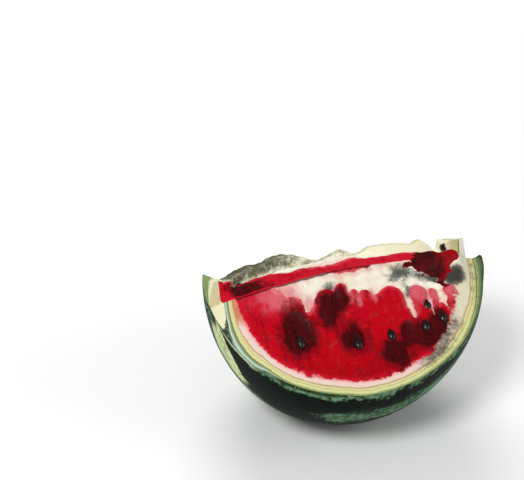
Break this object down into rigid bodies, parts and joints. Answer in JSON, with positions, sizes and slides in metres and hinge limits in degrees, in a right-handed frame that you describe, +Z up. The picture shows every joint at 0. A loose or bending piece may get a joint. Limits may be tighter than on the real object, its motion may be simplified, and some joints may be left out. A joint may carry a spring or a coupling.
{
  "type": "watermelon wedge",
  "caption": "Cut wedge of striped watermelon resting on its rind, with a flat red front face, an eaten-out back whose pale rind stands as a ragged lip, and dark seeds in the flesh.",
  "frame": {"origin": "centre of the small flat under the round rind, which the wedge rests on", "axes": "+X along the ridge towards its higher right end, -Y the way the front cut face looks, +Z up"},
  "size_m": [0.2378, 0.2285, 0.1475],
  "materials": {
    "melon": "moist red flesh in a pale rind with a striped dark green skin",
    "seed": "smooth, nearly black"
  },
  "bodies": {
    "root": {"watermelon_wedge": "melon"}
  },
  "joints": []
}
